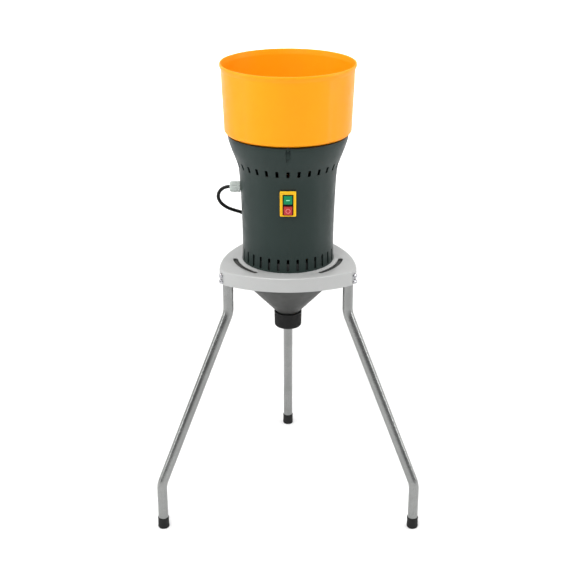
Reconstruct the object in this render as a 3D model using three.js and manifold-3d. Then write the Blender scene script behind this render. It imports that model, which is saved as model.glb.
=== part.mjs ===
// A small upright hammer mill for grain: a round plastic body with a vertical motor, an open hopper on top,
// a hammer rotor in a sieve cup below, and a discharge funnel, all on a three-legged tube stand.
// Millimetres, +Z up, front of the machine facing -Y, floor at Z = 0.
import * as THREE from "three";
import { mergeVertices } from "three/addons/utils/BufferGeometryUtils.js";
import Module from "manifold-3d";

// ---- Driving dimensions -------------------------------------------------------------------------

const GAP = 0.3; // between pieces that touch on the real machine

const stand = {
  top: 707, // height of the plate's upper face
  sheet: 3,
  skirt: 37.5,
  sideMiddle: 157.5, // axis to the middle of a curved side
  sideRadius: 300,
  cornerFlat: 195.5, // axis to the flat that a leg is bolted to
  hole: 97,
  slot: { inner: 132, outer: 145, halfAngle: 23 },
  boltDrops: [14.5, 30.5], // below the plate's upper face
  boltRadius: 3,
};
const sideAngles = [-90, 30, 150];
const leg = { tube: 13.4, wall: 2, top: 178.8, foot: 388, kneeHigh: 586, kneeLow: 131, bend: 30 };
const legBoltHead = { radius: 6.2, height: 8.5 };
const weldNut = { radius: 5.6, thick: 5 }; // on the inner side of each tube, for the bolts
const cap = { radius: 15.2, height: 31, floor: 5 };
const legAngles = { front_right: -30, rear: 90, front_left: -150 };

const shell = { wall: 3, bottom: stand.top + GAP, top: 1043, flangeInner: 100, flangeThick: 3 };
const shellRim = { inner: 137, outer: 146 };
const ventHigh = { count: 30, width: 7.6, bottom: 962, top: 979 };
const ventLow = { count: 30, width: 6.5, bottom: 711, top: 743 };
const pocket = { halfWidth: 5.5, centre: 147.5, top: 1040 };

const hopper = { wall: 3, bottom: shell.top + GAP, top: 1222, rim: 171 };
const outlet = { y: 80, radius: 22, bottom: 986.2, flange: 31, flangeThick: 3 };
const gate = { halfWidth: 27, thick: 2.5, top: 985.8, inner: 51, outer: 150, lip: 12 };

const chute = { outer: 22, wall: 2, top: gate.top - gate.thick - GAP, seat: 32, rail: 4 };
const head = { radius: 114, bottom: shell.bottom + shell.flangeThick + GAP, floor: 8, rim: 3, height: 19 };
const headBolt = { at: 104.5, head: 5.2, height: 4, angles: [-30, 210, 50] };
const motor = { radius: 56, bottom: head.bottom + head.height + 6, top: 890, wall: 3, shaft: 9 };
const bearing = { outer: 20, thick: 14 };
const capacitor = { x: 84, radius: 18, bottom: 800, top: 874, clipLow: 826, clipHigh: 844 };
const fan = { hub: 18, radius: 48, above: 20, height: 17 };

const funnel = { outer: 130, wall: 3, coneTop: 659.5, flange: 150, neck: 29.5, neckTop: 552.6, bottom: 522 };
const stud = { at: 139, radius: 3, length: 24 }; // under the plate, for the funnel
const collar = { radius: 37, endRadius: 35.8, top: 553.5, bottom: 512 };
const sieve = { radius: 101, wall: 1.6, flange: 123, flangeThick: 1.5, bottom: 656 };
const rotor = { disc: 62, thick: 3, middle: 681, space: 6.6, hub: 16, pinAt: 52, pin: 4 };
const hammer = { thick: 5.6, halfWidth: 9, reach: 36 };

const bezel = { halfWidth: 20.2, bottom: 863.2, top: 928, back: 125.3, thick: 5 };
const switchBlock = { halfWidth: 13.2, back: 78, front: bezel.back + 1.5, low: 866, high: 919 };
const button = { half: 10.6, travel: 3.5, deep: 10 };
const start = { z: 905.4, proud: 3.8 };
const stop = { z: 877.9, proud: 5.2 };

const gland = { z: 900, thread: 9.7, hexAcross: 26, hexThick: 6, nutLength: 19, nutRadius: 14, face: 124.6 };

const cord = { radius: 4.5 };
const hank = { low: 709, middle: 155, fold: 27.5, halfRun: 36.2, turns: 4.5, pitch: 9.1 };
const hankHigh = hank.low + 2 * cord.radius + hank.turns * hank.pitch;
const plug = { x: -12, y: 167, halfWidth: 17, halfHeight: 10, tail: 16, body: 38 };
const pin = { radius: 2.4, length: 19, side: 9.5 };
const tie = { halfWidth: 4, thick: 1.2 };

// ---- Solids -------------------------------------------------------------------------------------

const wasm = await Module();
wasm.setup();

// A closed three.js geometry as a solid, whichever way its faces point.
function solid(geometry) {
  const bare = geometry.index ? geometry.toNonIndexed() : geometry.clone();
  bare.deleteAttribute("normal");
  bare.deleteAttribute("uv");
  const merged = mergeVertices(bare, 1e-3);
  const index = merged.index.array;
  const kept = [];
  for (let i = 0; i < index.length; i += 3) {
    const [a, b, c] = [index[i], index[i + 1], index[i + 2]];
    if (a !== b && b !== c && c !== a) kept.push(a, b, c);
  }
  const mesh = (triangles) =>
    new wasm.Mesh({
      numProp: 3,
      vertProperties: merged.attributes.position.array,
      triVerts: new Uint32Array(triangles),
    });
  const made = new wasm.Manifold(mesh(kept));
  return made.volume() > 0 ? made : new wasm.Manifold(mesh(kept.reverse()));
}

function geometryOf(made) {
  const mesh = made.getMesh();
  return new THREE.BufferGeometry()
    .setAttribute("position", new THREE.BufferAttribute(mesh.vertProperties, mesh.numProp))
    .setIndex(new THREE.BufferAttribute(mesh.triVerts, 1))
    .toNonIndexed();
}

// A profile of [radius, height] points turned round the Z axis.
function turned(profile, segments = 32) {
  const points = profile.map(([r, z]) => new THREE.Vector2(r, z));
  return solid(new THREE.LatheGeometry(points, segments).rotateX(Math.PI / 2));
}

function ring(outer, inner, low, high, segments = 32) {
  return turned([[inner, low], [outer, low], [outer, high], [inner, high], [inner, low]], segments);
}

function disc(radius, low, high, segments = 24) {
  return turned([[0, low], [radius, low], [radius, high], [0, high]], segments);
}

function box([x0, y0, z0], [x1, y1, z1]) {
  const geometry = new THREE.BoxGeometry(x1 - x0, y1 - y0, z1 - z0);
  return solid(geometry.translate((x0 + x1) / 2, (y0 + y1) / 2, (z0 + z1) / 2));
}

// A solid built along +Z, laid so that +Z points along the azimuth given, starting at a height.
function radial(made, degrees, height) {
  return made.rotate([0, 90, degrees]).translate([0, 0, height]);
}

function joined(pieces) {
  return pieces.reduce((all, piece) => all.add(piece));
}

// The corner radius of a six-sided hole that clears a round thread.
function hexBore(thread) {
  return (thread + GAP) / Math.cos(Math.PI / 6);
}

const radians = THREE.MathUtils.degToRad;
const everyAngle = (count, start = 0) => Array.from({ length: count }, (_, i) => start + (360 / count) * i);

// ---- Group and materials ------------------------------------------------------------------------

const paint = {
  orange: { color: 0xfda319, roughness: 0.45, metalness: 0 },
  green: { color: 0x3a4644, roughness: 0.5, metalness: 0 },
  silver: { color: 0xc4c6c5, roughness: 0.4, metalness: 0.6 },
  tube: { color: 0x9da09f, roughness: 0.35, metalness: 0.8 },
  steel: { color: 0xb4b6b8, roughness: 0.3, metalness: 0.9 },
  black: { color: 0x1c1c1c, roughness: 0.7, metalness: 0 },
  grey: { color: 0x5d5e5d, roughness: 0.6, metalness: 0 },
  paleGrey: { color: 0xc9cfca, roughness: 0.5, metalness: 0 },
  yellow: { color: 0xf2bf1c, roughness: 0.4, metalness: 0 },
  startGreen: { color: 0x1f9a5c, roughness: 0.4, metalness: 0 },
  stopRed: { color: 0xc8343c, roughness: 0.4, metalness: 0 },
  copper: { color: 0xa8673a, roughness: 0.5, metalness: 0.8 },
};

// The mill's upright axis stands in front of the middle of the three feet, so that the group's origin is the
// middle of the floor that the whole stand covers.
const machine = new THREE.Group();
machine.position.y = -leg.foot / 4;

function addPiece(name, made, look) {
  const mesh = new THREE.Mesh(geometryOf(made), new THREE.MeshStandardMaterial(paint[look]));
  mesh.name = name;
  machine.add(mesh);
}

// ---- Stand --------------------------------------------------------------------------------------

// The plate's outline: three arcs between three short flats. A smaller outline is the same one set in.
function plateOutline(inset) {
  const middle = stand.sideRadius - stand.sideMiddle; // from the axis to an arc's centre
  const radius = stand.sideRadius - inset;
  const flat = stand.cornerFlat - inset;
  // Where an arc meets a flat, as a distance along the flat from its middle.
  const across = middle * Math.cos(radians(30));
  const along = Math.sqrt(radius ** 2 - (flat + middle * 0.5) ** 2) - across;
  const points = [];
  for (const angle of sideAngles) {
    const out = new THREE.Vector2(Math.cos(radians(angle)), Math.sin(radians(angle)));
    const centre = out.clone().multiplyScalar(-middle);
    const corner = new THREE.Vector2(Math.cos(radians(angle + 60)), Math.sin(radians(angle + 60)));
    const end = corner.clone().multiplyScalar(flat);
    end.add(new THREE.Vector2(corner.y, -corner.x).multiplyScalar(along));
    const half = end.sub(centre).angle() - radians(angle);
    const span = Math.atan2(Math.sin(half), Math.cos(half));
    for (let i = -5; i <= 5; i++) {
      const a = radians(angle) + (span * i) / 5;
      points.push(new THREE.Vector2(centre.x + radius * Math.cos(a), centre.y + radius * Math.sin(a)));
    }
  }
  return new THREE.Shape(points);
}

function extruded(shape, low, high, curveSegments = 8) {
  const settings = { depth: high - low, bevelEnabled: false, curveSegments };
  const geometry = new THREE.ExtrudeGeometry(shape, settings);
  return solid(geometry.translate(0, 0, low));
}

function arcSlot(angle) {
  const { inner, outer, halfAngle } = stand.slot;
  const [a, b] = [radians(angle - halfAngle), radians(angle + halfAngle)];
  const shape = new THREE.Shape();
  shape.absarc(0, 0, outer, a, b, false);
  shape.absarc(0, 0, inner, b, a, true);
  shape.closePath();
  return extruded(shape, stand.top - 10, stand.top + 1, 7);
}

function standPlate() {
  const low = stand.top - stand.skirt;
  let made = extruded(plateOutline(0), low, stand.top);
  made = made.subtract(extruded(plateOutline(stand.sheet), low - 1, stand.top - stand.sheet));
  made = made.subtract(disc(stand.hole, stand.top - 10, stand.top + 1, 48));
  for (const angle of Object.values(legAngles)) {
    made = made.subtract(arcSlot(angle));
    for (const drop of stand.boltDrops) {
      const hole = disc(stand.boltRadius + GAP, stand.cornerFlat - 10, stand.cornerFlat + 5, 12);
      made = made.subtract(radial(hole, angle, stand.top - drop));
    }
  }
  for (const angle of headBolt.angles) {
    const hole = disc(stand.boltRadius + GAP, stand.top - 10, stand.top + 1, 10);
    made = made.subtract(hole.translate(atAngle(headBolt.at, angle)));
  }
  for (const angle of sideAngles) {
    const rod = disc(stud.radius, stand.top - stud.length, stand.top - 1, 10);
    made = made.add(rod.translate(atAngle(stud.at, angle)));
  }
  return made;
}

function atAngle(radius, degrees, z = 0) {
  return [radius * Math.cos(radians(degrees)), radius * Math.sin(radians(degrees)), z];
}

// A leg's centre line in its own upright plane: X is the distance from the axis.
function legPath() {
  const corners = [
    new THREE.Vector3(leg.top, 0, stand.top - stand.sheet - 1),
    new THREE.Vector3(leg.top, 0, leg.kneeHigh),
    new THREE.Vector3(leg.foot, 0, leg.kneeLow),
    new THREE.Vector3(leg.foot, 0, cap.floor + GAP),
  ];
  const path = new THREE.CurvePath();
  const toward = (from, to, distance) => from.clone().add(to.clone().sub(from).setLength(distance));
  let from = corners[0];
  for (const i of [1, 2]) {
    const before = toward(corners[i], corners[i - 1], leg.bend / 2);
    const after = toward(corners[i], corners[i + 1], leg.bend / 2);
    path.add(new THREE.LineCurve3(from, before));
    path.add(new THREE.QuadraticBezierCurve3(before, corners[i], after));
    from = after;
  }
  path.add(new THREE.LineCurve3(from, corners[3]));
  return path;
}

function legTube(angle) {
  const section = new THREE.Shape().absarc(0, 0, leg.tube, 0, 2 * Math.PI, false);
  section.holes.push(new THREE.Path().absarc(0, 0, leg.tube - leg.wall, 0, 2 * Math.PI, true));
  const geometry = new THREE.ExtrudeGeometry(section, {
    steps: 18,
    curveSegments: 6,
    bevelEnabled: false,
    extrudePath: legPath(),
  });
  let made = solid(geometry);
  for (const drop of stand.boltDrops) {
    const low = leg.top - leg.tube - weldNut.thick;
    const nut = disc(weldNut.radius, low, low + weldNut.thick + leg.wall, 6);
    made = made.add(radial(nut, 0, stand.top - drop));
    const hole = disc(stand.boltRadius + GAP, low - 1, leg.top + 20, 8);
    made = made.subtract(radial(hole, 0, stand.top - drop));
  }
  return made.rotate([0, 0, angle]);
}

function footCap(angle) {
  const bore = leg.tube + GAP;
  const profile = [
    [0, 0], [cap.radius - 1.5, 0], [cap.radius, 2], [cap.radius - 0.7, cap.height],
    [bore, cap.height], [bore, cap.floor], [0, cap.floor],
  ];
  return turned(profile, 20).translate(atAngle(leg.foot, angle));
}

function legBolt(angle, drop) {
  const face = stand.cornerFlat + GAP;
  const inner = leg.top - leg.tube - weldNut.thick - 3;
  const { radius, height } = legBoltHead;
  const profile = [[0, inner], [stand.boltRadius, inner], [stand.boltRadius, face], [radius, face],
    [radius - 0.4, face + height - 3.5], [radius - 2.8, face + height - 0.6], [0, face + height]];
  return radial(turned(profile, 12), angle, stand.top - drop);
}

// ---- Body ---------------------------------------------------------------------------------------

const shellOutline = [[120, shell.bottom], [118.2, 766], [119, 809], [123.4, 919], [125.2, 941],
  [128.2, 962], [134.6, 981], [150.6, 1026], [153.5, shell.top]];

function bodyShell() {
  const inside = shellOutline.map(([r, z]) => [r - shell.wall, z]).reverse();
  // A level flange round the top for the hopper's screws, and one at the bottom that stands on the plate.
  const { inner, outer } = shellRim;
  inside.splice(0, 1, [inner, shell.top], [inner, pocket.top], [outer, pocket.top]);
  inside[inside.length - 1] = [116.5, shell.bottom + shell.flangeThick];
  inside.push([shell.flangeInner, shell.bottom + shell.flangeThick], [shell.flangeInner, shell.bottom]);
  let made = turned([...shellOutline, ...inside, shellOutline[0]], 48);

  const outside = turned([[0, shell.bottom], ...shellOutline, [0, shell.top]], 48);
  for (const angle of sideAngles) {
    const at = atAngle(pocket.centre, angle);
    const boss = disc(pocket.halfWidth + 3, 988, pocket.top + 1, 12).translate(at);
    made = made.add(boss.intersect(outside));
  }
  // A flat seat for the switch.
  const seat = box([-bezel.halfWidth, -bezel.back + GAP, bezel.bottom], [bezel.halfWidth, -116, bezel.top]);
  made = made.add(seat);
  return bodyCuts().reduce((all, cut) => all.subtract(cut), made);
}

function bodyCuts() {
  const cuts = [];
  for (const angle of everyAngle(ventHigh.count, -90)) cuts.push(vent(angle, ventHigh));
  for (const angle of everyAngle(ventLow.count, -90)) cuts.push(vent(angle, ventLow));
  for (const angle of sideAngles) {
    const { halfWidth, centre, top } = pocket;
    const groove = box([centre, -halfWidth, 960], [centre + 10, halfWidth, top]).rotate([0, 0, angle]);
    cuts.push(groove, disc(halfWidth, 960, top, 12).translate(atAngle(centre, angle)));
    cuts.push(disc(2.6, top - 1, shell.top + 1, 8).translate(atAngle(centre, angle)));
  }
  const { halfWidth, front, low, high } = switchBlock;
  cuts.push(box([-halfWidth - GAP, -front, low - GAP], [halfWidth + GAP, -100, high + GAP]));
  cuts.push(radial(disc(gland.thread + GAP, 100, 140, 16), 180, gland.z));
  const gateHalf = gate.halfWidth + 1;
  cuts.push(box([-gateHalf, 120, gate.top - gate.thick - 0.8], [gateHalf, 150, gate.top + 0.8]));
  for (const angle of headBolt.angles) {
    const hole = disc(stand.boltRadius + GAP, shell.bottom - 1, head.bottom + 1, 10);
    cuts.push(hole.translate(atAngle(headBolt.at, angle)));
  }
  return cuts;
}

// A vent: an upright slot through the wall.
function vent(angle, { width, bottom, top }) {
  return box([112, -width / 2, bottom], [142, width / 2, top]).rotate([0, 0, angle]);
}

function hopperScrew(angle) {
  const at = atAngle(pocket.centre, angle);
  const profile = [[0, pocket.top - 3.3], [3, pocket.top - 3.3], [4, pocket.top - GAP],
    [2.2, pocket.top - GAP], [2.2, shell.top + 2], [0, shell.top + 2]];
  return turned(profile, 12).translate(at);
}

// ---- Hopper and feed ----------------------------------------------------------------------------

// The slanting floor: a level circle at the top, and the outlet's circle below and behind it.
function slantingCone(topRadius, topZ, lowRadius, lowZ) {
  const segments = 40;
  const rings = [[0, 0, topRadius, topZ], [0, outlet.y, lowRadius, lowZ]];
  const points = [];
  const index = [];
  for (const [x, y, radius, z] of rings) {
    for (const angle of everyAngle(segments)) {
      points.push(x + radius * Math.cos(radians(angle)), y + radius * Math.sin(radians(angle)), z);
    }
    points.push(x, y, z);
  }
  const below = segments + 1;
  for (let i = 0; i < segments; i++) {
    const next = (i + 1) % segments;
    index.push(i, below + i, next, next, below + i, below + next);
    index.push(segments, i, next, below + segments, below + next, below + i);
  }
  const geometry = new THREE.BufferGeometry();
  geometry.setAttribute("position", new THREE.Float32BufferAttribute(points, 3));
  return solid(geometry.setIndex(index));
}

function hopperShell() {
  const { bottom, top, rim, wall } = hopper;
  const floorEdge = bottom + 9;
  const outside = turned([
    [0, bottom], [155, bottom], [161, bottom + 9], [167.2, top - 16], [rim, top - 6], [rim, top - 1.5],
    [rim - 1.2, top], [0, top],
  ], 48);
  const inside = turned([
    [0, floorEdge], [157, floorEdge], [158, bottom + 16], [166.8 - wall, top - 20],
    [rim - 5.5, top + 1], [0, top + 1],
  ], 48);
  const cone = slantingCone(135.5, bottom + 3, outlet.radius + wall, outlet.bottom);
  const flange = disc(outlet.flange, outlet.bottom, outlet.bottom + outlet.flangeThick, 24);
  const hollow = slantingCone(133, floorEdge + 0.5, outlet.radius, outlet.bottom - 1);
  const level = disc(135.5, bottom, bottom + 6, 48);
  let made = outside.add(cone).add(level).add(flange.translate([0, outlet.y, 0]));
  made = made.subtract(inside).subtract(hollow);
  for (const angle of sideAngles) {
    made = made.subtract(disc(2.5, bottom - 1, bottom + 3, 8).translate(atAngle(pocket.centre, angle)));
  }
  return made;
}

function feedGate() {
  const { halfWidth, thick, top, inner, outer, lip } = gate;
  const plate = box([-halfWidth, inner, top - thick], [halfWidth, outer, top]);
  const pull = box([-halfWidth, outer - thick, top - thick - lip], [halfWidth, outer, top]);
  return plate.add(pull);
}

function grainChute() {
  const low = head.bottom + head.floor + GAP;
  const inner = chute.outer - chute.wall;
  const tube = ring(chute.outer, inner, low, chute.top, 24).translate([0, outlet.y, 0]);
  const [front, back] = [outlet.y - outlet.flange, outlet.y + outlet.flange];
  const seat = box([-chute.seat, front, chute.top - 3], [chute.seat, back, chute.top]);
  const rail = (x) => box([x, front, chute.top - 1], [x + chute.rail, back, outlet.bottom - GAP]);
  const way = disc(inner, low - 1, chute.top + 1, 24).translate([0, outlet.y, 0]);
  return joined([tube, seat, rail(-chute.seat), rail(chute.seat - chute.rail)]).subtract(way);
}

// ---- Motor and head -----------------------------------------------------------------------------

function millHead() {
  const { radius, bottom, floor, rim, height } = head;
  const hubTop = bottom + height;
  const bore = bearing.outer + GAP;
  const made = turned([
    [motor.shaft + 2, bottom], [radius, bottom], [radius, hubTop], [radius - rim, hubTop],
    [radius - rim, bottom + floor], [30, bottom + floor], [28, hubTop], [bore, hubTop],
    [bore, bottom + 4], [motor.shaft + 2, bottom + 4], [motor.shaft + 2, bottom],
  ], 48);
  const cuts = [disc(chute.outer - chute.wall, bottom - 1, hubTop + 1, 24).translate([0, outlet.y, 0])];
  for (const angle of headBolt.angles) {
    const hole = disc(stand.boltRadius + GAP, bottom - 1, hubTop + 1, 10);
    cuts.push(hole.translate(atAngle(headBolt.at, angle)));
  }
  return cuts.reduce((all, cut) => all.subtract(cut), made);
}

function headBoltAt(angle) {
  const face = head.bottom + head.floor + GAP;
  const low = stand.top - stand.sheet + GAP;
  const top = face + headBolt.height;
  const profile = [[0, low], [3, low], [3, face], [headBolt.head, face], [headBolt.head, top], [0, top]];
  return turned(profile, 6).translate(atAngle(headBolt.at, angle));
}

function motorHousing() {
  const { radius, bottom, top, wall } = motor;
  const foot = ring(radius, radius - wall, bottom, top, 32);
  const fins = everyAngle(12, 15)
    .filter((angle) => Math.abs(angle - 90) > 32 && angle !== 15 && angle !== 345)
    .map((angle) => radial(box([-70, -1.5, radius - 2], [70, 1.5, radius + 4]), angle, (bottom + top) / 2));
  const { x, clipLow, clipHigh } = capacitor;
  const clip = ring(20.5, capacitor.radius + GAP, clipLow, clipHigh, 20).translate([x, 0, 0]);
  const arm = box([radius - 1, -6, clipLow], [66.5, 6, clipHigh]);
  const way = disc(capacitor.radius + GAP, clipLow - 1, clipHigh + 1, 20).translate([x, 0, 0]);
  return joined([foot, clip, arm, ...fins]).subtract(way);
}

function windings() {
  const coil = (low, high) => ring(50, 36, low, high, 24);
  const core = ring(motor.radius - motor.wall - GAP, 34, motor.bottom + 30, motor.top - 30, 24);
  return joined([core, coil(motor.bottom + 14, motor.bottom + 30.1), coil(motor.top - 30.1, motor.top - 14)]);
}

function endShield() {
  const low = motor.top + GAP;
  const bore = bearing.outer + GAP;
  const seat = low - 2.4; // what the bearing stands on
  return turned([
    [motor.shaft + 2, seat - 4], [bore + 4, seat - 4], [bore + 4, low], [motor.radius, low],
    [motor.radius, low + 5], [bore + 6, low + 12], [bore, low + 12], [bore, seat], [motor.shaft + 2, seat],
    [motor.shaft + 2, seat - 4],
  ], 32);
}

function motorShaft() {
  const low = rotor.middle - 20;
  const shoulder = rotor.middle - rotor.space / 2 - rotor.thick - 1;
  return turned([
    [0, low], [6, low], [6, shoulder], [motor.shaft, shoulder],
    [motor.shaft, motor.top + 40], [0, motor.top + 40],
  ], 20);
}

function armature() {
  return ring(33.2, motor.shaft + GAP, motor.bottom + 32, motor.top - 32, 24);
}

function coolingFan() {
  const low = motor.top + fan.above;
  const high = low + fan.height;
  const hub = ring(fan.hub, motor.shaft + GAP, low, high, 20);
  const back = ring(fan.radius - 2, fan.hub - 3, low, low + 2, 24);
  const blade = box([fan.hub - 2, -1.2, low], [fan.radius, 1.2, high - 2]);
  const blades = everyAngle(8).map((angle) => blade.rotate([0, 0, angle]));
  return joined([hub, back, ...blades]);
}

const bearingRace = (low) => ring(bearing.outer, motor.shaft + GAP, low, low + bearing.thick, 24);

function startCapacitor() {
  const { x, radius, bottom, top } = capacitor;
  const profile = [[0, bottom], [radius - 1, bottom], [radius, bottom + 2], [radius, top - 2], [radius - 1, top],
    [6, top], [6, top + 6], [0, top + 6]];
  return turned(profile, 20).translate([x, 0, 0]);
}

// ---- Mill ---------------------------------------------------------------------------------------

function rotorDiscs() {
  const { disc: radius, thick, middle, space, hub } = rotor;
  const plate = (low) => ring(radius, motor.shaft + GAP, low, low + thick, 32);
  const [low, high] = [middle - space / 2 - thick, middle + space / 2];
  let made = joined([plate(low), plate(high), ring(hub, motor.shaft + GAP, low - 1, high + thick + 8, 20)]);
  for (const angle of everyAngle(4)) {
    const hole = disc(rotor.pin + GAP, low - 1, high + 10, 12);
    made = made.subtract(hole.translate(atAngle(rotor.pinAt, angle)));
  }
  return made;
}

function hammerPin(angle) {
  const low = rotor.middle - rotor.space / 2 - rotor.thick - GAP;
  const high = rotor.middle + rotor.space / 2 + rotor.thick + GAP;
  const profile = [[0, low - 3], [6.5, low - 3], [6.5, low], [rotor.pin, low], [rotor.pin, high], [6, high],
    [6, high + 1.6], [0, high + 1.6]];
  return turned(profile, 12).translate(atAngle(rotor.pinAt, angle));
}

function hammerBar(angle) {
  const { thick, halfWidth, reach } = hammer;
  const low = rotor.middle - thick / 2;
  const bar = box([rotor.pinAt, -halfWidth, low], [rotor.pinAt + reach, halfWidth, low + thick]);
  const eye = disc(halfWidth, low, low + thick, 16).translate([rotor.pinAt, 0, 0]);
  const hole = disc(rotor.pin + GAP, low - 1, low + thick + 1, 12).translate([rotor.pinAt, 0, 0]);
  return bar.add(eye).subtract(hole).rotate([0, 0, angle]);
}

function shaftNut() {
  const high = rotor.middle - rotor.space / 2 - rotor.thick - 1 - GAP;
  return ring(12, hexBore(6), high - 8, high, 6);
}

function sieveCup() {
  const { radius, wall, flange, flangeThick, bottom } = sieve;
  const high = stand.top - stand.sheet - GAP;
  return turned([
    [0, bottom], [radius, bottom], [radius, high - flangeThick], [flange, high - flangeThick], [flange, high],
    [radius - wall, high], [radius - wall, bottom + wall], [0, bottom + wall],
  ], 48);
}

function dischargeFunnel() {
  const { outer, wall, coneTop, flange, neck, neckTop, bottom } = funnel;
  const high = stand.top - stand.sheet - 2 * GAP - sieve.flangeThick;
  const slope = wall * 1.2;
  let made = turned([
    [neck - wall, bottom], [neck, bottom], [neck, neckTop], [outer, coneTop], [outer, high - 4],
    [flange, high - 4], [flange, high], [112, high], [112, high - 3], [outer - wall, high - 4],
    [outer - wall, coneTop + slope / 2], [neck - wall, neckTop + slope / 2], [neck - wall, bottom],
  ], 48);
  for (const angle of sideAngles) {
    made = made.subtract(disc(stud.radius + 0.6, high - 10, high + 5, 10).translate(atAngle(stud.at, angle)));
  }
  return made;
}

function funnelNut(angle) {
  const high = stand.top - stand.sheet - 2 * GAP - sieve.flangeThick - 4 - GAP;
  return ring(6.4, hexBore(stud.radius), high - 5, high, 6).translate(atAngle(stud.at, angle));
}

function spoutCollar() {
  const { radius, endRadius, top, bottom } = collar;
  const bore = funnel.neck + GAP;
  return turned([
    [bore, top - 2], [bore + 1.8, top], [radius, top], [endRadius, bottom + 3],
    [endRadius - 2, bottom], [bore, bottom], [bore, top - 2],
  ], 40);
}

// ---- Switch, gland and lead ---------------------------------------------------------------------

function switchBezel() {
  const { halfWidth, bottom, top, back, thick } = bezel;
  const frame = box([-halfWidth, -back - thick, bottom], [halfWidth, -back, top]);
  const [side, low, high] = [switchBlock.halfWidth + 0.4, switchBlock.low - 0.4, switchBlock.high + 0.4];
  return frame.subtract(box([-side, -back - thick - 1, low], [side, -back + 1, high]));
}

function switchBody() {
  const { halfWidth, back, front, low, high } = switchBlock;
  const wellFloor = -front + button.deep + button.travel + 1;
  let made = box([-halfWidth, -front, low], [halfWidth, -back, high]);
  for (const { z } of [start, stop]) {
    const half = button.half + 0.4;
    made = made.subtract(box([-half, -front - 1, z - half], [half, wellFloor, z + half]));
  }
  return made;
}

function pushButton({ z, proud }) {
  const { half, deep } = button;
  const { front } = switchBlock;
  return box([-half, -front - proud, z - half], [half, -front + deep, z + half]);
}

// The gland's pieces are built along +Z from the mill's axis and laid towards -X.
function glandBody() {
  const { thread, hexAcross, hexThick, face } = gland;
  const hex = ring(hexAcross / 2 / Math.cos(Math.PI / 6), 5, face, face + hexThick, 6);
  const stem = ring(thread, 5, face - 19, face + hexThick + 12, 18);
  return radial(joined([hex, stem]), 180, gland.z);
}

function glandNut() {
  const { nutRadius, nutLength } = gland;
  const low = gland.face + gland.hexThick + GAP;
  const high = low + nutLength;
  const bore = gland.thread + GAP;
  const made = turned([
    [bore, low], [nutRadius, low], [nutRadius, high - 6], [nutRadius - 1.2, high - 1.5], [9.5, high],
    [cord.radius + GAP, high],
    [cord.radius + GAP, low + 13], [bore, low + 13], [bore, low],
  ], 24);
  return radial(made, 180, gland.z);
}

// The lead: out of the gland to the left, down in a loop, round behind the body and onto the plate, where the
// rest of it is folded into a hank of turns on top of each other, bent round the back of the body.
const cordStart = gland.face + gland.hexThick + GAP + gland.nutLength + GAP;
const plugZ = hankHigh + 0.5 + plug.halfHeight;
const leadRoute = [
  [-cordStart, 0, gland.z], [-157.7, 0, 899.2], [-166, 0.3, 896.2], [-174, 1.3, 889.8], [-179.2, 3, 879.6],
  [-180, 6.2, 868], [-176.2, 11, 856], [-168.8, 17.5, 845], [-159, 26, 835], [-147.6, 36, 826.2],
  [-135.4, 47.6, 818.2], [-124, 60.6, 809.6], [-114.6, 75, 798.6], [-108.4, 88.6, 783.6], [-104.6, 98, 765.6],
  [-100.4, 104, 746], [-93.6, 108.2, 728.6], [-82.5, 111.6, 717.2], [-70, 114, 713.6], [-59, 116.4, 713.2],
];
const tailRoute = [
  [20, 172, hankHigh + 5.2], [8, 169, hankHigh + 8.6], [-3, 167.4, plugZ - 0.2],
  [plug.x + GAP, plug.y, plugZ],
];

function cordTube(route, steps) {
  const path = new THREE.CatmullRomCurve3(route.map((point) => new THREE.Vector3(...point)));
  const section = new THREE.Shape().absarc(0, 0, cord.radius, 0, 2 * Math.PI, false);
  const options = { steps, curveSegments: 4, bevelEnabled: false, extrudePath: path };
  return solid(new THREE.ExtrudeGeometry(section, options));
}

function hankSolid() {
  const { low, middle, fold, halfRun } = hank;
  const half = fold + cord.radius;
  const span = halfRun / middle;
  const back = Math.PI / 2;
  const side = middle * Math.sin(span);
  const deep = middle * Math.cos(span);
  const shape = new THREE.Shape();
  shape.absarc(0, 0, middle + half, back - span, back + span, false);
  shape.absarc(-side, deep, half, back + span, span - back, false);
  shape.absarc(0, 0, middle - half, back + span, back - span, true);
  shape.absarc(side, deep, half, -back - span, back - span, false);
  return extruded(shape, low, hankHigh);
}

// A strap round the middle of the hank.
function cordTie() {
  const half = hank.fold + cord.radius + GAP;
  const [front, back] = [hank.middle - half, hank.middle + half];
  const [low, high] = [hank.low - GAP, hankHigh + GAP];
  const { halfWidth, thick } = tie;
  const outer = box([-halfWidth, front - thick, low - 1], [halfWidth, back + thick, high + 1]);
  return outer.subtract(box([-halfWidth - 1, front - 0.2, low], [halfWidth + 1, back, high]));
}

function mainsPlug() {
  const { x, y, halfWidth, halfHeight, tail, body } = plug;
  const alongX = (made, side = 0) => made.rotate([0, -90, 0]).translate([0, y + side, plugZ]);
  const strain = alongX(disc(5.5, -x, -x + tail + 1, 16));
  const front = x - tail - body;
  const block = box([front, y - halfWidth, plugZ - halfHeight], [x - tail, y + halfWidth, plugZ + halfHeight]);
  const rod = disc(pin.radius, -front - 1, -front + pin.length, 12);
  const pins = [-pin.side, pin.side].map((side) => alongX(rod, side));
  return joined([block, strain, ...pins]);
}

// ---- The whole mill -----------------------------------------------------------------------------

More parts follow.
